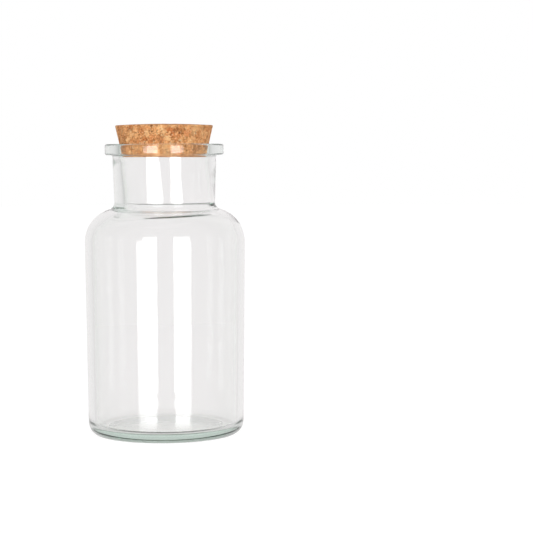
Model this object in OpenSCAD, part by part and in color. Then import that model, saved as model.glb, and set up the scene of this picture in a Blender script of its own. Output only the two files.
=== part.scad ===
// Apothecary jar: a round, wide-mouthed glass jar closed by a tapered cork stopper.
// The jar is one piece of moulded glass and the stopper is one piece of pressed cork.
// Both are turned about Z. The origin is the centre of the ring that the jar stands on.

/* [Body] */
// Outside diameter of the body, where the shoulder starts
body_d = 66; // [58:0.5:90]
// How much narrower the body is at the heel than at the shoulder, in diameter
body_draft = 1.7; // [0:0.1:4]
// Height at which the body ends and the shoulder starts
body_h = 79.4; // [50:0.1:95]
// Thickness of the glass in the body
body_wall = 3.1; // [1.5:0.1:4]
// Radius of the outside corner between the body and the base
heel_r = 5.4; // [4:0.1:8]
// Radius of the outside curve of the shoulder
shoulder_r = 13.8; // [11:0.1:16]
// Least slope of the top of the shoulder, in degrees
shoulder_slope = 18; // [17:1:35]
// How much larger the radius of the shoulder's inside curve is than the wall alone makes it
shoulder_round = 1.3; // [0:0.1:2]
// How far the shoulder's inside curve sits below its outside curve
shoulder_drop = 0.4; // [0:0.1:2]

/* [Base] */
// Thickness of the glass above the standing ring
base_t = 3.7; // [2.5:0.1:8]
// How far the outer edge of the standing ring lies inside the body
ring_inset = 2.9; // [2:0.1:4]
// Width of the flat ring that the jar stands on
ring_w = 5.7; // [1:0.1:7]
// How far the underside is domed up inside the ring
push_up = 1.8; // [0.5:0.1:3]
// How far the inside floor is domed up at its middle
floor_crown = 0.9; // [0.2:0.1:2]
// Radius of the inside corner between the floor and the wall
floor_corner_r = 2.3; // [2:0.1:10]

/* [Neck and lip] */
// Overall height of the glass
jar_h = 119.5; // [112:0.5:160]
// Outside diameter of the neck at its foot
neck_d = 41.5; // [39:0.1:48]
// How much wider the neck is under the lip than at its foot, in diameter
neck_draft = 1.2; // [0:0.1:3]
// Bore of the neck below the seat
neck_bore_d = 36; // [28:0.2:36]
// Radius of the outside corner between the neck and the shoulder
neck_fillet_r = 3.1; // [1:0.1:5]
// Radius of the inside corner between the neck and the shoulder
inside_fillet_r = 4; // [2:0.1:8]
// Outside diameter of the lip
lip_d = 49; // [46:0.5:60]
// Thickness of the lip
lip_t = 4.5; // [3:0.1:8]
// Radius of the lip's outside edges
lip_edge_r = 0.9; // [0.3:0.1:1.4]
// Radius of the corner under the lip
lip_fillet_r = 0.8; // [0.3:0.1:1.2]

/* [Seat of the stopper] */
// Bore of the seat that the stopper is pressed into
seat_d = 36.7; // [36.2:0.1:38]
// Depth of the seat below the top of the lip
seat_depth = 6.2; // [4:0.1:10]
// Height of the cone that narrows the seat to the neck's bore
seat_cone_h = 1.4; // [0.5:0.1:4]
// Radius of the mouth's inside edge
mouth_r = 1; // [0.5:0.1:1.5]

/* [Stopper] */
// How far the stopper stands above the lip
stopper_proud = 7.7; // [4:0.1:20]
// How far the stopper goes down into the mouth
stopper_insert = 5.1; // [3:0.1:10]
// Angle between the stopper's side and its axis
stopper_angle = 13; // [6:0.5:16]
// How far the top of the stopper bulges up at its middle
stopper_crown = 0.6; // [0.2:0.1:1.5]
// Radius of the stopper's edges
stopper_edge_r = 0.4; // [0.2:0.1:1.5]
// Gap left between the stopper and the mouth's rounded edge
stopper_gap = 0.15; // [0.05:0.05:0.3]

/* [Hidden] */
$fn = 128;
// Straight steps that a quarter circle of an outline is drawn with
quarter_steps = 20;

body_r = body_d / 2;
heel_body_r = body_r - body_draft / 2;
neck_r = neck_d / 2;
lip_neck_r = neck_r + neck_draft / 2;
bore_r = neck_bore_d / 2;
seat_r = seat_d / 2;
lip_r = lip_d / 2;
lip_low = jar_h - lip_t;

// The outer radii of the standing ring and of the inside floor
ring_r = heel_body_r - ring_inset;
floor_r = heel_body_r - body_wall - floor_corner_r;

// The heel turns about a circle, heel_x from the axis and heel_h up, and starts at heel_start
// degrees, where it leaves the ring.
heel_x = heel_body_r - heel_r;
heel_start = -acos((ring_r - heel_x) / heel_r);
heel_h = -heel_r * sin(heel_start);

// The outside curve of the shoulder turns about a circle shoulder_x from the axis at body_h, and
// the inside curve about one inside_shoulder_x from the axis at inside_shoulder_h.
shoulder_x = body_r - shoulder_r;
inside_shoulder_r = shoulder_r - body_wall + shoulder_round;
inside_shoulder_x = body_r - body_wall - inside_shoulder_r;
inside_shoulder_h = body_h - shoulder_drop;

// Points of an arc about [x, y], from angle a to angle b in degrees, either way round.
function arc(x, y, r, a, b) =
    let (steps = max(2, ceil(abs(b - a) / 90 * quarter_steps)))
    [for (i = [0:steps]) let (t = a + (b - a) * i / steps) [x + r * cos(t), y + r * sin(t)]];

// Points of a domed cap from [r, y] to its middle at [0, y + rise].
function cap(r, y, rise) =
    let (cap_r = (r * r + rise * rise) / (2 * rise))
    arc(0, y + rise - cap_r, cap_r, acos(r / cap_r), 90);

function reversed(points) = [for (i = [len(points) - 1:-1:0]) points[i]];

// Angle at which a shoulder curve of radius curve_r about curve_x gives way to the neck, seen
// from the curve's centre: where it meets a corner of radius fillet_r on a wall wall_r from the
// axis, or sooner, where the shoulder has come down to its least slope.
function shoulder_end(curve_x, curve_r, wall_r, fillet_r) =
    min(90 - shoulder_slope, acos((wall_r + fillet_r - curve_x) / (curve_r + fillet_r)));

// Height of that corner's centre above the curve's centre. A straight slope joins the two
// where the curve ends sooner.
function corner_rise(curve_x, curve_r, wall_r, fillet_r) =
    let (end = shoulder_end(curve_x, curve_r, wall_r, fillet_r),
        both_r = curve_r + fillet_r,
        slope = (curve_x + both_r * cos(end) - wall_r - fillet_r) / sin(end))
    both_r * sin(end) + slope * cos(end);

outside_end = shoulder_end(shoulder_x, shoulder_r, neck_r, neck_fillet_r);
inside_end = shoulder_end(inside_shoulder_x, inside_shoulder_r, bore_r, inside_fillet_r);
neck_low = body_h + corner_rise(shoulder_x, shoulder_r, neck_r, neck_fillet_r);
bore_low = inside_shoulder_h
    + corner_rise(inside_shoulder_x, inside_shoulder_r, bore_r, inside_fillet_r);

// The body and the neck both widen upwards, by these angles.
body_lean = atan((body_r - heel_body_r) / (body_h - heel_h));
neck_lean = atan((lip_neck_r - neck_r) / (lip_low - neck_low));

// The outside of the glass, from the middle of the underside to the top of the lip.
function outside_line() = concat(
    reversed(cap(ring_r - ring_w, 0, push_up)),
    arc(heel_x, heel_h, heel_r, heel_start, -body_lean),
    arc(shoulder_x, body_h, shoulder_r, -body_lean, outside_end),
    arc(neck_r + neck_fillet_r, neck_low, neck_fillet_r, 180 + outside_end, 180 - neck_lean),
    arc(lip_neck_r + lip_fillet_r, lip_low - lip_fillet_r, lip_fillet_r, 180 - neck_lean, 90),
    arc(lip_r - lip_edge_r, lip_low + lip_edge_r, lip_edge_r, -90, 0),
    arc(lip_r - lip_edge_r, jar_h - lip_edge_r, lip_edge_r, 0, 90));

// The inside of the glass, from the mouth down to the middle of the floor.
function inside_line() = concat(
    arc(seat_r + mouth_r, jar_h - mouth_r, mouth_r, 90, 180),
    [[seat_r, jar_h - seat_depth], [bore_r, jar_h - seat_depth - seat_cone_h]],
    arc(bore_r + inside_fillet_r, bore_low, inside_fillet_r, 180, 180 + inside_end),
    arc(inside_shoulder_x, inside_shoulder_h, inside_shoulder_r, inside_end, -body_lean),
    arc(floor_r, base_t + floor_corner_r, floor_corner_r, -body_lean, -90),
    cap(floor_r, base_t, floor_crown));

// Radius of the stopper's side at a height above the lip. The cone passes the mouth's
// rounded edge at stopper_gap from it.
function stopper_r(above_lip) =
    seat_r + mouth_r - (mouth_r + stopper_gap) / cos(stopper_angle)
    + (mouth_r + above_lip) * tan(stopper_angle);

// How far in from the cone's corners the centres of its rounded edges lie.
top_edge_in = stopper_edge_r * tan(45 + stopper_angle / 2);
low_edge_in = stopper_edge_r * tan(45 - stopper_angle / 2);

// The stopper, from the middle of its underside to the middle of its top.
function stopper_line() =
    let (low = jar_h - stopper_insert,
        top = jar_h + stopper_proud,
        low_x = stopper_r(-stopper_insert) - low_edge_in,
        top_x = stopper_r(stopper_proud) - top_edge_in)
    concat(
        [[0, low]],
        arc(low_x, low + stopper_edge_r, stopper_edge_r, -90, -stopper_angle),
        arc(top_x, top - stopper_edge_r, stopper_edge_r, -stopper_angle, 90),
        cap(top_x, top, stopper_crown));

module glass_jar() {
    color("azure", 0.35) rotate_extrude() polygon(concat(outside_line(), inside_line()));
}

module cork_stopper() {
    color("burlywood") rotate_extrude() polygon(stopper_line());
}

glass_jar();
cork_stopper();
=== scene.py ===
from math import acos, atan, ceil, cos, degrees, hypot, pi, radians, sin, tan

import bpy
from mathutils import Matrix, Vector


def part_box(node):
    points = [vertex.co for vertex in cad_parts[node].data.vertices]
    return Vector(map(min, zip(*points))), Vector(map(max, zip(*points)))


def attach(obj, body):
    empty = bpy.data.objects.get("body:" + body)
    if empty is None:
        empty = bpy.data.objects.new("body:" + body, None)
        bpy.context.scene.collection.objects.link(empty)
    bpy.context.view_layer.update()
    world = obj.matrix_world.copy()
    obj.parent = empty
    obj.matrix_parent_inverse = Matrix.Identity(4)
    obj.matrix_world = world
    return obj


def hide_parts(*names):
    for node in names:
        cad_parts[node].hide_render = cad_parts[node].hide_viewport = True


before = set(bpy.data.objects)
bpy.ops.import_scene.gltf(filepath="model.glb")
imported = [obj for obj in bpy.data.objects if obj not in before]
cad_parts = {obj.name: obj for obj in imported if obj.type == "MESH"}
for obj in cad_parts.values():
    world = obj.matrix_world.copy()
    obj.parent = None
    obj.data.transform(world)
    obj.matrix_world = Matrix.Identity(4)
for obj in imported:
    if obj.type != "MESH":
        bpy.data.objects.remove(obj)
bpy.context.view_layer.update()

# ------------------------------------------------------------------ view
# The jar is seen through a long lens, straight before it and at the height of its lip. The lens
# looks a little right and down, so that the jar stands left of the middle.
MM = 0.001
scene = bpy.context.scene
jar_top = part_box("glass_jar")[1].z
view_distance = 722 * MM
view_height = jar_top - 3 * MM
lens_mm, sensor_mm = 117.9, 36
look_right, look_down, tilt = radians(3.33), radians(3.79), radians(0.23)

camera = bpy.data.objects.new("camera", bpy.data.cameras.new("camera"))
camera.data.lens = lens_mm
camera.data.sensor_width = sensor_mm
camera.data.clip_start = 10 * MM
stand = Matrix.Translation((0, -view_distance, view_height))
turn = Matrix.Rotation(-look_right, 4, "Z") @ Matrix.Rotation(radians(90) - look_down, 4, "X")
camera.matrix_world = stand @ turn @ Matrix.Rotation(-tilt, 4, "Z")
scene.collection.objects.link(camera)
scene.camera = camera

# ------------------------------------------------------------------ glass jar
# One piece of clear soda-lime glass, blown in a mould with a pressed lip. The mould leaves the
# outside true. Air alone shaped the inside, so the wall wanders a little in thickness.

# Sizes of the outlines, in millimetres and degrees
jar_h = jar_top / MM
body_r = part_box("glass_jar")[1].x / MM  # at the shoulder, where the body is widest
heel_body_r = 32.15
body_h = 79.4  # where the body ends and the shoulder starts
wall = 3.1
heel_r = 5.4
ring_inset = 2.9  # of the standing ring's outer edge from the body
ring_w = 5.7
push_up = 1.8  # rise of the underside inside the ring
base_t = 3.7
floor_crown = 0.9  # rise of the inside floor to its middle
floor_corner_r = 2.3
shoulder_r, shoulder_slope = 13.8, 18
inside_shoulder_r, inside_shoulder_h = 12, 79
neck_r, neck_spread = 20.75, 0.6  # at the neck's foot, and how much wider it is under the lip
neck_fillet_r, inside_fillet_r = 3.1, 4
bore_r = 18
lip_r, lip_t = 24.5, 4.5
lip_edge_r, lip_fillet_r = 0.9, 0.8
seat_r, seat_depth, seat_cone_h = 18.35, 6.2, 1.4  # the stopper's seat
mouth_r = 1
glass_spacing = 2.5  # of the points along a straight stretch


def arc(x, y, r, start, end, step=4):
    """Points of an arc about (x, y), a step of degrees apart at most, either way round."""
    count = max(2, ceil(abs(end - start) / step))
    angles = [radians(start + (end - start) * i / count) for i in range(count + 1)]
    return [(x + r * cos(a), y + r * sin(a)) for a in angles]


def cap(r, y, rise, count=12):
    """Points of a shallow dome from (r, y) to its middle on the axis."""
    cap_r = (r * r + rise * rise) / (2 * rise)
    edge = degrees(acos(r / cap_r))
    return arc(0, y + rise - cap_r, cap_r, edge, 90, step=(90 - edge) / count)


def corner(curve_x, curve_r, wall_r, fillet_r):
    """Where a shoulder curve ends, in degrees, and how high the neck's corner is centred above it."""
    both = curve_r + fillet_r
    end = min(90 - shoulder_slope, degrees(acos((wall_r + fillet_r - curve_x) / both)))
    slope = (curve_x + both * cos(radians(end)) - wall_r - fillet_r) / sin(radians(end))
    return end, both * sin(radians(end)) + slope * cos(radians(end))


def filled(points, spacing):
    """The same line with points added along its straight stretches."""
    line = [points[0]]
    for (ax, ay), (bx, by) in zip(points, points[1:]):
        count = max(1, ceil(hypot(bx - ax, by - ay) / spacing))
        line += [(ax + (bx - ax) * i / count, ay + (by - ay) * i / count) for i in range(1, count + 1)]
    return line


def outside_line():
    """The outside of the glass, from the middle of the underside to the top of the lip."""
    ring_r = heel_body_r - ring_inset
    heel_x = heel_body_r - heel_r
    heel_start = -degrees(acos((ring_r - heel_x) / heel_r))
    heel_h = -heel_r * sin(radians(heel_start))
    lean = degrees(atan((body_r - heel_body_r) / (body_h - heel_h)))
    end, rise = corner(body_r - shoulder_r, shoulder_r, neck_r, neck_fillet_r)
    lip_low = jar_h - lip_t
    neck_low = body_h + rise
    neck_lean = degrees(atan(neck_spread / (lip_low - neck_low)))
    under_lip = neck_r + neck_spread + lip_fillet_r
    return (
        cap(ring_r - ring_w, 0, push_up)[::-1]
        + arc(heel_x, heel_h, heel_r, heel_start, -lean)
        + arc(body_r - shoulder_r, body_h, shoulder_r, -lean, end)
        + arc(neck_r + neck_fillet_r, neck_low, neck_fillet_r, 180 + end, 180 - neck_lean)
        + arc(under_lip, lip_low - lip_fillet_r, lip_fillet_r, 180 - neck_lean, 90, step=10)
        + arc(lip_r - lip_edge_r, lip_low + lip_edge_r, lip_edge_r, -90, 0, step=9)
        + arc(lip_r - lip_edge_r, jar_h - lip_edge_r, lip_edge_r, 0, 90, step=9)
    )


def pressed_line():
    """The pressed part of the inside, from the top of the lip down the mouth and the seat."""
    mouth = arc(seat_r + mouth_r, jar_h - mouth_r, mouth_r, 90, 180, step=9)
    return mouth + [(seat_r, jar_h - seat_depth)]


def blown_line():
    """The blown part of the inside, from the foot of the seat's cone to the middle of the floor."""
    lean = degrees(atan((body_r - heel_body_r) / body_h))
    shoulder_x = body_r - wall - inside_shoulder_r
    end, rise = corner(shoulder_x, inside_shoulder_r, bore_r, inside_fillet_r)
    floor_r = heel_body_r - wall - floor_corner_r
    return (
        [(bore_r, jar_h - seat_depth - seat_cone_h)]
        + arc(bore_r + inside_fillet_r, inside_shoulder_h + rise, inside_fillet_r, 180, 180 + end)
        + arc(shoulder_x, inside_shoulder_h, inside_shoulder_r, end, -lean)
        + arc(floor_r, base_t + floor_corner_r, floor_corner_r, -lean, -90)
        + cap(floor_r, base_t, floor_crown)
    )


def hex_colour(code):
    """A linear colour from an sRGB hex code."""
    parts = [int(code[i:i + 2], 16) / 255 for i in (0, 2, 4)]
    return (*[p / 12.92 if p <= 0.04045 else ((p + 0.055) / 1.055) ** 2.4 for p in parts], 1)


def add(tree, kind, links=(), **settings):
    """Adds a node with its settings. Each input of links is given a value, a socket, or a node
    whose first output in use is meant. A Mix node's inputs 2 and 3 are numbers, 6 and 7 colours."""
    node = tree.nodes.new(kind)
    for name, value in settings.items():
        setattr(node, name, value)
    for name, source in dict(links).items():
        if isinstance(source, bpy.types.Node):
            source = next(socket for socket in source.outputs if socket.enabled)
        if isinstance(source, bpy.types.NodeSocket):
            tree.links.new(source, node.inputs[name])
        else:
            node.inputs[name].default_value = source
    return node


def new_tree(name, inputs):
    """A Geometry Nodes tree with a geometry input and the named ones: the tree, its inputs and its
    geometry output."""
    tree = bpy.data.node_groups.new(name, "GeometryNodeTree")
    tree.interface.new_socket("Geometry", in_out="OUTPUT", socket_type="NodeSocketGeometry")
    for title, kind in {"Geometry": "Geometry", **inputs}.items():
        tree.interface.new_socket(title, in_out="INPUT", socket_type="NodeSocket" + kind)
    given = tree.nodes.new("NodeGroupInput").outputs
    return tree, given, tree.nodes.new("NodeGroupOutput").inputs["Geometry"]


def turning_tree():
    """Turns a section in the XZ plane about Z into a closed skin."""
    tree, given, result = new_tree("turn_section", {"Segments": "Int"})
    size = add(tree, "GeometryNodeAttributeDomainSize", {"Geometry": given["Geometry"]})
    across = add(tree, "FunctionNodeIntegerMath", {0: given["Segments"], 1: 1}, operation="ADD")
    grid = add(tree, "GeometryNodeMeshGrid", {
        "Vertices X": size.outputs["Point Count"], "Vertices Y": across})
    index = add(tree, "GeometryNodeInputIndex")
    along = add(tree, "FunctionNodeIntegerMath", {0: index, 1: across}, operation="DIVIDE_FLOOR")
    around = add(tree, "FunctionNodeIntegerMath", {0: index, 1: across}, operation="MODULO")
    place = add(tree, "GeometryNodeInputPosition")
    point = add(tree, "GeometryNodeSampleIndex", {
        "Geometry": given["Geometry"], "Value": place, "Index": along}, data_type="FLOAT_VECTOR")
    blown = add(tree, "GeometryNodeInputNamedAttribute", {"Name": "blown"}, data_type="FLOAT")
    own = add(tree, "GeometryNodeSampleIndex", {
        "Geometry": given["Geometry"], "Value": blown, "Index": along}, data_type="FLOAT")
    part = add(tree, "ShaderNodeMath", {0: around, 1: given["Segments"]}, operation="DIVIDE")
    angle = add(tree, "ShaderNodeMath", {0: part, 1: radians(-360)}, operation="MULTIPLY")
    turned = add(tree, "ShaderNodeVectorRotate", {
        "Vector": point, "Angle": angle}, rotation_type="Z_AXIS")
    skin = add(tree, "GeometryNodeSetPosition", {"Geometry": grid, "Position": turned})
    marked = add(tree, "GeometryNodeStoreNamedAttribute", {
        "Geometry": skin, "Name": "blown", "Value": own}, data_type="FLOAT", domain="POINT")
    closed = add(tree, "GeometryNodeMergeByDistance", {"Geometry": marked, "Distance": 0.001 * MM})
    smooth = add(tree, "GeometryNodeSetShadeSmooth", {"Geometry": closed})
    tree.links.new(smooth.outputs[0], result)
    return tree


turn_section = turning_tree()


def section_mesh(name, line, first_blown):
    """A section line as an edge chain in the XZ plane; from first_blown on it is marked as blown."""
    mesh = bpy.data.meshes.new(name)
    edges = [(i, i + 1) for i in range(len(line) - 1)]
    mesh.from_pydata([(x * MM, 0, z * MM) for x, z in line], edges, [])
    blown = mesh.attributes.new("blown", "FLOAT", "POINT")
    blown.data.foreach_set("value", [float(i >= first_blown) for i in range(len(line))])
    return mesh


def made_mesh(name, section, tree, inputs):
    """The plain mesh object that a tree makes of a section, with the inputs set by identifier."""
    source = bpy.data.objects.new(name + "_section", section)
    scene.collection.objects.link(source)
    modifier = source.modifiers.new("nodes", "NODES")
    modifier.node_group = tree
    for item in tree.interface.items_tree:
        if item.in_out == "INPUT" and item.name in inputs:
            modifier[item.identifier] = inputs[item.name]
    evaluated = source.evaluated_get(bpy.context.evaluated_depsgraph_get())
    mesh = bpy.data.meshes.new_from_object(evaluated)
    mesh.name = name
    source.modifiers.clear()
    bpy.data.objects.remove(source)
    piece = bpy.data.objects.new(name, mesh)
    scene.collection.objects.link(piece)
    return piece


# Clear soda-lime glass, fire polished: it is seen by what it bends and mirrors, and only the
# long paths in its lip and base show its faint green. The underside alone is matt and rippled,
# because it set against the cold base plate of the mould.
glass_ior = 1.52
glass_tint, tint_per_metre = "7CB89E", 10.5
plate_roughness, ripple_size, ripple_depth = 0.35, 2.8 * MM, 0.1 * MM
matt_edge = 0.3 * MM


def underside(tree, place):
    """1 on the domed underside and the ring, 0 on the rest of the glass."""
    flat = add(tree, "ShaderNodeVectorMath", {0: place, 1: (1, 1, 0)}, operation="MULTIPLY")
    radius = add(tree, "ShaderNodeVectorMath", {0: flat}, operation="LENGTH")
    ring_r = (heel_body_r - ring_inset) * MM
    within = add(tree, "ShaderNodeMapRange", {
        "Value": radius, "From Min": ring_r, "From Max": ring_r - matt_edge})
    height = add(tree, "ShaderNodeSeparateXYZ", {0: place}).outputs["Z"]
    low = add(tree, "ShaderNodeMapRange", {
        "Value": height, "From Min": base_t * MM, "From Max": push_up * MM})
    return add(tree, "ShaderNodeMath", {0: within, 1: low}, operation="MULTIPLY")


def soda_lime_glass():
    material = bpy.data.materials.new("clear_soda_lime_glass")
    material.use_nodes = True
    tree = material.node_tree
    tree.nodes.clear()
    place = add(tree, "ShaderNodeTexCoord").outputs["Object"]
    under = underside(tree, place)
    roughness = add(tree, "ShaderNodeMath", {0: under, 1: plate_roughness}, operation="MULTIPLY")
    ripples = add(tree, "ShaderNodeTexNoise", {
        "Vector": place, "Scale": 1 / ripple_size, "Detail": 1})
    relief = add(tree, "ShaderNodeMath", {0: ripples, 1: under}, operation="MULTIPLY")
    bump = add(tree, "ShaderNodeBump", {"Height": relief, "Distance": ripple_depth, "Strength": 1})
    surface = add(tree, "ShaderNodeBsdfPrincipled", {
        "Base Color": hex_colour("FFFFFF"), "Roughness": roughness, "IOR": glass_ior,
        "Transmission Weight": 1, "Normal": bump})
    volume = add(tree, "ShaderNodeVolumeAbsorption", {
        "Color": hex_colour(glass_tint), "Density": tint_per_metre})
    add(tree, "ShaderNodeOutputMaterial", {"Surface": surface, "Volume": volume})
    return material


# The seat was pressed true. What was blown below it wanders and stands a little aside, more and
# more from the seat down to aside_full. Only a share of both is left below neck_starts.
seat_low, aside_full = (jar_h - seat_depth) * MM, 98 * MM
neck_starts, neck_full = 85 * MM, 93 * MM


def glass_tree():
    """Turns the jar's section, lets its inside wander in patches and sets it a little aside."""
    tree, given, result = new_tree("blown_glass", {
        "Segments": "Int", "Wander": "Float", "Patch": "Float", "Seed": "Float",
        "Body Share": "Float", "Aside": "Float", "Material": "Material"})
    skin = add(tree, "GeometryNodeGroup", {
        "Geometry": given["Geometry"], "Segments": given["Segments"]}, node_tree=turn_section)

    place = add(tree, "GeometryNodeInputPosition")
    height = add(tree, "ShaderNodeSeparateXYZ", {0: place}).outputs["Z"]
    below_seat = add(tree, "ShaderNodeMapRange", {
        "Value": height, "From Min": seat_low, "From Max": aside_full})
    in_neck = add(tree, "ShaderNodeMapRange", {
        "Value": height, "From Min": neck_starts, "From Max": neck_full})
    share = add(tree, "ShaderNodeMix", {0: in_neck, 2: given["Body Share"], 3: 1})
    blown = add(tree, "GeometryNodeInputNamedAttribute", {"Name": "blown"}, data_type="FLOAT")
    freedom = add(tree, "ShaderNodeMath", {0: blown, 1: below_seat}, operation="MULTIPLY")
    freedom = add(tree, "ShaderNodeMath", {0: freedom, 1: share}, operation="MULTIPLY")

    scale = add(tree, "ShaderNodeMath", {0: 1, 1: given["Patch"]}, operation="DIVIDE")
    noise = add(tree, "ShaderNodeTexNoise", {
        "W": given["Seed"], "Scale": scale, "Detail": 0}, noise_dimensions="4D")
    either_way = add(tree, "ShaderNodeMath", {0: noise, 1: 0.5}, operation="SUBTRACT")
    reach = add(tree, "ShaderNodeMath", {0: freedom, 1: given["Wander"]}, operation="MULTIPLY")
    wander = add(tree, "ShaderNodeMath", {0: either_way, 1: reach}, operation="MULTIPLY")
    normal = add(tree, "GeometryNodeInputNormal")
    thicker = add(tree, "ShaderNodeVectorMath", {0: normal, "Scale": wander}, operation="SCALE")
    aside = add(tree, "ShaderNodeMath", {0: freedom, 1: given["Aside"]}, operation="MULTIPLY")
    sideways = add(tree, "ShaderNodeCombineXYZ", {"X": aside})
    move = add(tree, "ShaderNodeVectorMath", {0: thicker, 1: sideways}, operation="ADD")
    moved = add(tree, "GeometryNodeSetPosition", {"Geometry": skin, "Offset": move})

    solid = add(tree, "GeometryNodeRealizeInstances", {"Geometry": moved})
    finished = add(tree, "GeometryNodeSetMaterial", {
        "Geometry": solid, "Material": given["Material"]})
    tree.links.new(finished.outputs[0], result)
    return tree


true_skin = filled(outside_line(), glass_spacing) + filled(pressed_line(), glass_spacing)
blown_skin = filled(blown_line(), glass_spacing)
jar = made_mesh(
    "jar_of_glass", section_mesh("jar_section", true_skin + blown_skin, len(true_skin)), glass_tree(), {
        "Segments": 240, "Wander": 0.25 * MM, "Patch": 26 * MM, "Seed": 3.0,
        "Body Share": 0.05, "Aside": 1.05 * MM,
        "Material": soda_lime_glass()})
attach(jar, "jar")
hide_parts("glass_jar")

# ------------------------------------------------------------------ cork stopper
# A tapered stopper of pressed cork: granules of ground bark, glued in a block and ground to a
# cone. The granules differ in colour. Where one has torn out there is a pit, darkened as painted shade.

# Sizes of the outline, in millimetres and degrees
stopper_low, stopper_high = [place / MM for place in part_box("cork_stopper")]
stopper_crown, stopper_edge_r, stopper_angle = 0.6, 0.4, 13
cork_spacing = 0.33  # of the points along a straight stretch


def stopper_line():
    """The stopper, from the middle of its underside to the middle of its top."""
    low, top = stopper_low.z, stopper_high.z - stopper_crown
    edge = stopper_edge_r
    top_r = stopper_high.x - edge
    low_r = top_r - (top - low - 2 * edge) * tan(radians(stopper_angle))
    return (
        [(0, low)]
        + arc(low_r, low + edge, edge, -90, -stopper_angle, step=20)
        + arc(top_r, top - edge, edge, -stopper_angle, 90, step=20)
        + cap(top_r, top, stopper_crown)
    )


granule_size, granule_bend = 2.1 * MM, 1.2 * MM
streak_size, speck_size = 0.4 * MM, 0.7 * MM
streak_squeeze = (1, 1, 0.25)  # draws each granule's streaks out to four times their width
own_share = 0.16  # of a granule's own colour, beside its streaks'


def granules(tree, place):
    """The granules as Voronoi cells with bent outlines: the bent place, and the cells' node."""
    noise = add(tree, "ShaderNodeTexNoise", {
        "Vector": place, "Scale": 1 / granule_bend, "Detail": 2})
    either_way = add(tree, "ShaderNodeVectorMath", {
        0: noise.outputs["Color"], 1: (0.5, 0.5, 0.5)}, operation="SUBTRACT")
    bend = add(tree, "ShaderNodeVectorMath", {
        0: either_way, "Scale": 2 * granule_bend}, operation="SCALE")
    bent = add(tree, "ShaderNodeVectorMath", {0: place, 1: bend}, operation="ADD")
    return bent, add(tree, "ShaderNodeTexVoronoi", {"Vector": bent, "Scale": 1 / granule_size})


def set_stops(ramp, stops):
    """Gives a colour ramp the colours at the positions."""
    for i, (at, colour) in enumerate(stops.items()):
        stop = ramp.color_ramp.elements[i] if i < 2 else ramp.color_ramp.elements.new(at)
        stop.position, stop.color = at, colour


def tinted(tree, colour, code, value, low, high, most, mask=1):
    """The colour, moved towards the hex code's: not at all where the value is at low, and by most
    where it is at high and the mask is 1."""
    rise = add(tree, "ShaderNodeMapRange", {"Value": value, "From Min": low, "From Max": high})
    here = add(tree, "ShaderNodeMath", {0: rise, 1: mask}, operation="MULTIPLY")
    amount = add(tree, "ShaderNodeMath", {0: here, 1: most}, operation="MULTIPLY")
    return add(tree, "ShaderNodeMix", {0: amount, 6: colour, 7: hex_colour(code)}, data_type="RGBA")


# Pressed cork, dry and unfinished: each granule has its own tan or orange brown and its own
# grain, drawn as fine streaks, with dark specks of bark and pale flecks between them.
def pressed_cork():
    material = bpy.data.materials.new("pressed_cork")
    material.use_nodes = True
    tree = material.node_tree
    tree.nodes.clear()
    place = add(tree, "ShaderNodeTexCoord").outputs["Object"]
    bent, cells = granules(tree, place)
    own = add(tree, "ShaderNodeSeparateColor", {"Color": cells.outputs["Color"]})
    angles = add(tree, "ShaderNodeVectorMath", {
        0: cells.outputs["Color"], "Scale": radians(360)}, operation="SCALE")
    turned = add(tree, "ShaderNodeVectorRotate", {
        "Vector": bent, "Rotation": angles}, rotation_type="EULER_XYZ")
    drawn = add(tree, "ShaderNodeVectorMath", {0: turned, 1: streak_squeeze}, operation="MULTIPLY")
    streaks = add(tree, "ShaderNodeTexNoise", {
        "Vector": drawn, "Scale": 1 / streak_size, "Detail": 3, "Roughness": 0.6})
    grain = add(tree, "ShaderNodeMix", {0: own_share, 2: streaks, 3: own.outputs["Red"]})
    ramp = add(tree, "ShaderNodeValToRGB", {"Fac": grain})
    stops = {0.34: "784321", 0.42: "BC7846", 0.49: "DA985F", 0.55: "F0AE71", 0.66: "FFD097"}
    set_stops(ramp, {at: hex_colour(code) for at, code in stops.items()})
    colour = tinted(tree, ramp, "D97A42", own.outputs["Green"], low=0.55, high=1, most=0.5)
    colour = tinted(tree, colour, "E3BE8B", own.outputs["Blue"], low=0.75, high=1, most=0.35)

    specks = add(tree, "ShaderNodeTexVoronoi", {"Vector": bent, "Scale": 1 / speck_size})
    spot = add(tree, "ShaderNodeMapRange", {
        "Value": specks.outputs["Distance"], "From Min": 0.5, "From Max": 0.2})
    speck = add(tree, "ShaderNodeSeparateColor", {"Color": specks.outputs["Color"]})
    colour = tinted(tree, colour, "4C2C1B", speck.outputs["Red"], low=0.76, high=0.86, most=0.95, mask=spot)
    colour = tinted(tree, colour, "F8DCAC", speck.outputs["Green"], low=0.74, high=0.84, most=0.8, mask=spot)
    # Painted shade: the torn pits are darkened towards a deep brown, for the shade that falls in them.
    torn_pit_shade = add(tree, "ShaderNodeAttribute", attribute_name="torn_pit_shade").outputs["Fac"]
    colour = tinted(tree, colour, "6E4329", torn_pit_shade, low=0, high=1, most=0.55)

    bump = add(tree, "ShaderNodeBump", {"Height": streaks, "Distance": 0.3 * MM, "Strength": 0.8})
    surface = add(tree, "ShaderNodeBsdfPrincipled", {
        "Base Color": colour, "Roughness": 0.85, "Specular IOR Level": 0.3, "Normal": bump})
    add(tree, "ShaderNodeOutputMaterial", {"Surface": surface})
    return material


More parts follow.
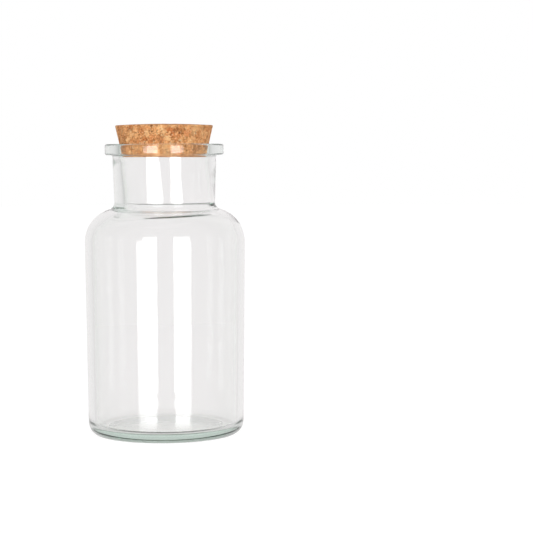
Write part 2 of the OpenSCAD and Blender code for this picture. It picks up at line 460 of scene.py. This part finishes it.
def cork_tree():
    """Turns the stopper's section, sets each granule a little back and tears some chips out."""
    tree, given, result = new_tree("ground_cork", {
        "Segments": "Int", "Unevenness": "Float", "Chip": "Float", "Tear": "Float", "Torn": "Float",
        "Tear Edge": "Float", "Seed": "Float", "Material": "Material"})
    skin = add(tree, "GeometryNodeGroup", {
        "Geometry": given["Geometry"], "Segments": given["Segments"]}, node_tree=turn_section)

    scale = add(tree, "ShaderNodeMath", {0: 1, 1: given["Chip"]}, operation="DIVIDE")
    noise = add(tree, "ShaderNodeTexNoise", {
        "W": given["Seed"], "Scale": scale, "Detail": 1}, noise_dimensions="4D")
    full = add(tree, "ShaderNodeMath", {0: given["Torn"], 1: given["Tear Edge"]}, operation="ADD")
    torn_pit_shade = add(tree, "ShaderNodeMapRange", {
        "Value": noise, "From Min": given["Torn"], "From Max": full})
    chip = add(tree, "ShaderNodeMath", {0: torn_pit_shade, 1: given["Tear"]}, operation="MULTIPLY")

    place = add(tree, "GeometryNodeInputPosition").outputs[0]
    _, cells = granules(tree, place)
    own = add(tree, "ShaderNodeSeparateXYZ", {0: cells.outputs["Color"]}).outputs["X"]
    uneven = add(tree, "ShaderNodeMath", {0: own, 1: given["Unevenness"]}, operation="MULTIPLY")
    back = add(tree, "ShaderNodeMath", {0: uneven, 1: chip}, operation="ADD")
    inward = add(tree, "ShaderNodeMath", {0: back, 1: -1}, operation="MULTIPLY")
    normal = add(tree, "GeometryNodeInputNormal")
    shift = add(tree, "ShaderNodeVectorMath", {0: normal, "Scale": inward}, operation="SCALE")
    # The torn places are kept for the cork's colour, which darkens them as painted shade.
    marked = add(tree, "GeometryNodeStoreNamedAttribute", {
        "Geometry": skin, "Name": "torn_pit_shade", "Value": torn_pit_shade}, data_type="FLOAT", domain="POINT")
    ground = add(tree, "GeometryNodeSetPosition", {"Geometry": marked, "Offset": shift})

    solid = add(tree, "GeometryNodeRealizeInstances", {"Geometry": ground})
    finished = add(tree, "GeometryNodeSetMaterial", {
        "Geometry": solid, "Material": given["Material"]})
    tree.links.new(finished.outputs[0], result)
    return tree


cork_skin = filled(stopper_line(), cork_spacing)
stopper = made_mesh(
    "stopper_of_cork", section_mesh("stopper_section", cork_skin, len(cork_skin)), cork_tree(), {
        "Segments": 480, "Unevenness": 0.1 * MM, "Chip": 1.4 * MM, "Tear": 0.35 * MM, "Torn": 0.66,
        "Tear Edge": 0.08, "Seed": 1.0,
        "Material": pressed_cork()})
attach(stopper, "stopper")
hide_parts("cork_stopper")

# ------------------------------------------------------------------ table and light
# A white table before a white backdrop, and two upright soft boxes, left and right of the
# camera, that the glass mirrors as two tall strips.
table_r = 3000 * MM
paper_white, room_white, pure_white = "FFFBFC", "F6F7F4", "FFFFFF"
seen_level = 1.02  # of paper and room behind glass
shade_ends, shade_gone = 150 * MM, 450 * MM


def at_level(code, level):
    """The linear colour of a hex code, times a level."""
    red, green, blue, alpha = hex_colour(code)
    return (red * level, green * level, blue * level, alpha)


def seen_white(tree, way):
    """What glass shows at the end of a way: the paper behind the jar, and the room elsewhere."""
    ahead = add(tree, "ShaderNodeVectorMath", {0: way}, operation="NORMALIZE")
    behind = add(tree, "ShaderNodeSeparateXYZ", {0: ahead}).outputs["Y"]
    ramp = add(tree, "ShaderNodeValToRGB", {"Fac": behind})
    set_stops(ramp, {0.8: at_level(room_white, seen_level), 0.96: at_level(paper_white, seen_level)})
    return ramp


def lit_white(tree, colour, glow_colour, glow):
    """A white that the lamps light and that glows a little by itself."""
    lit = add(tree, "ShaderNodeBsdfDiffuse", {"Color": colour})
    own = add(tree, "ShaderNodeEmission", {"Color": glow_colour, "Strength": glow})
    return add(tree, "ShaderNodeAddShader", {0: lit, 1: own})


def white_table():
    """White to the camera, with a little of the jar's shadow kept. Glass shows that shadow near the
    jar and an even white farther off. Mirrored rays pass the table as if it weren't there."""
    material = bpy.data.materials.new("white_table")
    material.use_nodes = True
    tree = material.node_tree
    tree.nodes.clear()
    place = add(tree, "ShaderNodeTexCoord").outputs["Object"]
    plain = add(tree, "ShaderNodeBsdfDiffuse", {"Color": at_level(pure_white, 0.8)})
    direct = lit_white(tree, at_level(pure_white, 0.25), hex_colour(pure_white), glow=0.86)
    near = lit_white(tree, at_level(paper_white, 0.65), hex_colour(paper_white), glow=0.515)
    far = add(tree, "ShaderNodeEmission", {"Color": seen_white(tree, place), "Strength": 1})
    distance = add(tree, "ShaderNodeVectorMath", {0: place}, operation="LENGTH")
    farther = add(tree, "ShaderNodeMapRange", {
        "Value": distance, "From Min": shade_ends, "From Max": shade_gone})
    through = add(tree, "ShaderNodeMixShader", {0: farther, 1: near, 2: far})
    clear = add(tree, "ShaderNodeBsdfTransparent")

    path = add(tree, "ShaderNodeLightPath")
    mirrored = add(tree, "ShaderNodeMath", {
        0: path.outputs["Glossy Depth"], 1: 0.5}, operation="GREATER_THAN")
    seen = add(tree, "ShaderNodeMixShader", {0: path.outputs["Is Camera Ray"], 1: plain, 2: direct})
    seen = add(tree, "ShaderNodeMixShader", {
        0: path.outputs["Is Transmission Ray"], 1: seen, 2: through})
    seen = add(tree, "ShaderNodeMixShader", {0: mirrored, 1: seen, 2: clear})
    add(tree, "ShaderNodeOutputMaterial", {"Surface": seen})
    return material


bpy.ops.mesh.primitive_circle_add(vertices=64, radius=table_r, fill_type="NGON")
table = bpy.context.object
table.name = "table"
table.data.materials.append(white_table())

lamp_low, lamp_high, lamp_distance = -200 * MM, 360 * MM, 900 * MM
lamp_radiance = 6
side_fade, foot_fade, top_fade = 0.06, 0.2, 0.5  # parts of the lamp's width and height


def faded_ends(tree, part, first, last):
    """1 along a length, but rising from 0 over its first part and falling to 0 over its last."""
    rise = add(tree, "ShaderNodeMapRange", {"Value": part, "From Min": 0, "From Max": first})
    rest = add(tree, "ShaderNodeMath", {0: 1, 1: part}, operation="SUBTRACT")
    fall = add(tree, "ShaderNodeMapRange", {"Value": rest, "From Min": 0, "From Max": last})
    return add(tree, "ShaderNodeMath", {0: rise, 1: fall}, operation="MULTIPLY")


def soft_box(name, bearing, width):
    """An upright lamp facing the jar, at a bearing in degrees from the way to the camera. Its cloth
    is brightest in the middle and fades towards its edges, most of all at its top."""
    lamp = bpy.data.lights.new(name, "AREA")
    lamp.shape = "RECTANGLE"
    lamp.size, lamp.size_y = width, lamp_high - lamp_low
    lamp.energy = lamp_radiance * pi * lamp.size * lamp.size_y
    lamp.use_nodes = True
    tree = lamp.node_tree
    tree.nodes.clear()
    where = add(tree, "ShaderNodeNewGeometry").outputs["Parametric"]
    where = add(tree, "ShaderNodeSeparateXYZ", {0: where})
    across = faded_ends(tree, where.outputs["X"], side_fade, side_fade)
    upright = faded_ends(tree, where.outputs["Y"], foot_fade, top_fade)
    strength = add(tree, "ShaderNodeMath", {0: across, 1: upright}, operation="MULTIPLY")
    glow = add(tree, "ShaderNodeEmission", {"Strength": strength})
    add(tree, "ShaderNodeOutputLight", {"Surface": glow})
    box = bpy.data.objects.new(name, lamp)
    way = Vector((sin(radians(bearing)), -cos(radians(bearing)), 0))
    box.location = way * lamp_distance + Vector((0, 0, (lamp_low + lamp_high) / 2))
    box.rotation_euler = (radians(90), 0, radians(bearing))
    box.visible_camera = False
    scene.collection.objects.link(box)


soft_box("soft_box_left", bearing=-27.15, width=447 * MM)
soft_box("soft_box_right", bearing=25.35, width=388 * MM)

# What a mirrored ray meets, by how near it goes to the backdrop's brightest place: 1 is straight
# at it, and 0 is square to that way or farther round.
backdrop_bearing = radians(3)  # right of straight behind the jar
mirrored_room = {
    0.1: at_level(room_white, 0.25), 0.5: at_level(room_white, 0.63),
    0.72: at_level(paper_white, 0.85), 0.98: at_level(paper_white, 0.93)}
room_light = 0.75


def room():
    """White where it is looked at straight or through glass; mirrored, it is white behind the jar
    and dim in front; it lights the pieces at a plain level."""
    world = bpy.data.worlds.new("room")
    world.use_nodes = True
    tree = world.node_tree
    tree.nodes.clear()
    way = add(tree, "ShaderNodeTexCoord").outputs["Generated"]
    facing = add(tree, "ShaderNodeVectorMath", {
        0: way, 1: (sin(backdrop_bearing), cos(backdrop_bearing), 0)}, operation="DOT_PRODUCT")
    mirror_image = add(tree, "ShaderNodeValToRGB", {"Fac": facing})
    set_stops(mirror_image, mirrored_room)

    path = add(tree, "ShaderNodeLightPath")
    mirrored = add(tree, "ShaderNodeMath", {
        0: path.outputs["Glossy Depth"], 1: 0.5}, operation="GREATER_THAN")
    looked = add(tree, "ShaderNodeMix", {
        0: mirrored, 6: seen_white(tree, way), 7: mirror_image}, data_type="RGBA")
    sharp = add(tree, "ShaderNodeMath", {
        0: path.outputs["Is Transmission Ray"], 1: path.outputs["Is Glossy Ray"]}, operation="MAXIMUM")
    level = add(tree, "ShaderNodeMix", {
        0: sharp, 6: at_level(pure_white, room_light), 7: looked}, data_type="RGBA")
    level = add(tree, "ShaderNodeMix", {
        0: path.outputs["Is Camera Ray"], 6: level, 7: hex_colour(pure_white)}, data_type="RGBA")
    glow = add(tree, "ShaderNodeBackground", {"Color": level, "Strength": 1})
    add(tree, "ShaderNodeOutputWorld", {"Surface": glow})
    return world


scene.world = room()
scene.view_settings.view_transform = "Standard"
# Light crosses many faces of the glass before it leaves the jar.
scene.cycles.blur_glossy = 0
scene.cycles.max_bounces = 32
scene.cycles.glossy_bounces = 24
scene.cycles.transmission_bounces = 32
